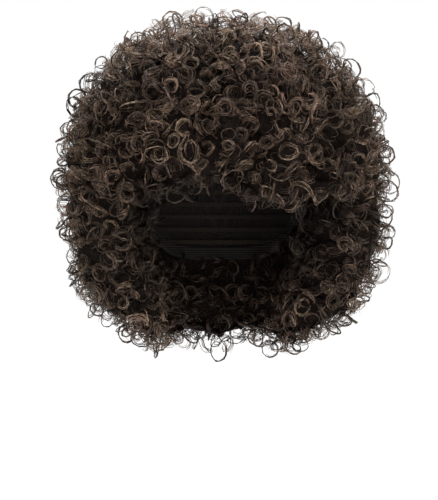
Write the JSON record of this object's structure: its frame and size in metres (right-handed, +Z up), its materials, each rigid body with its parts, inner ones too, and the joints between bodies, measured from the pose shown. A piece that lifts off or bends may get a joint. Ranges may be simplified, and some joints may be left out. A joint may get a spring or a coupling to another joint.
{
  "type": "afro wig",
  "caption": "Full round wig of tight dark-brown curls on an open elastic cap, with a curled fringe and openings for the face and the neck.",
  "frame": {"origin": "where the crown of the wearer's head meets the inside of the cap, in the middle plane", "axes": "+Z up, -Y the way the face looks, +X towards the wearer's left"},
  "size_m": [0.3175, 0.3098, 0.3251],
  "materials": {
    "netting": "matt knitted net with sewn weft tapes",
    "elastic": "ribbed woven elastic, matt",
    "curls": "curled synthetic fibre, dark brown with lighter brown strands and a soft sheen"
  },
  "bodies": {
    "root": {"cap": "netting", "edge_band": "elastic", "hair_crown": "curls", "hair_upper_row": "curls", "hair_fringe_row": "curls", "hair_lower_row": "curls", "hair_nape": "curls"}
  },
  "joints": []
}
